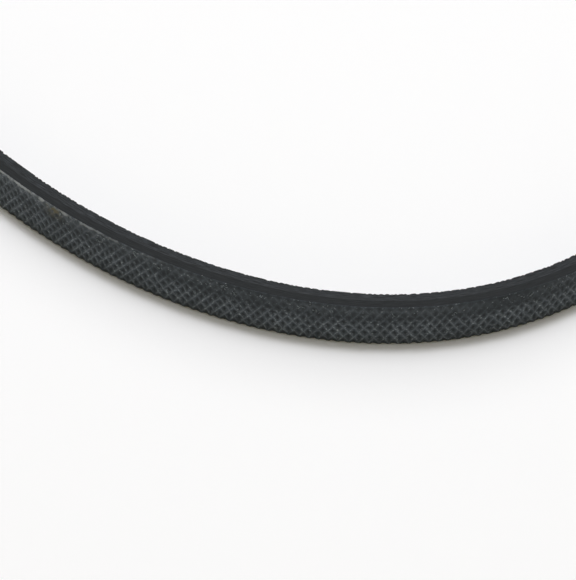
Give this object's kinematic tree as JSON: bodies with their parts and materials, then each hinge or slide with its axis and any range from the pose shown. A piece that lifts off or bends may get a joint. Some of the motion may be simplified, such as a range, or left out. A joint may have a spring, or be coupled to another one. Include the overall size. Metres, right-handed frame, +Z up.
{
  "type": "serpentine belt",
  "caption": "Endless ribbed drive belt: a flat rubber band with V-ribs on its inner face and a diamond-patterned back, standing on edge as a slack oval loop.",
  "frame": {"origin": "middle of the oval loop, at the height of the lower cut edge that the belt stands on", "axes": "+X along the oval's long axis, +Y along its short axis, +Z up, across the belt's width; the ribs face the loop's middle and the flat back faces outward"},
  "size_m": [0.3004, 0.2096, 0.0107],
  "materials": {
    "belt_rubber": "matte"
  },
  "bodies": {
    "root": {"belt": "belt_rubber"}
  },
  "joints": []
}
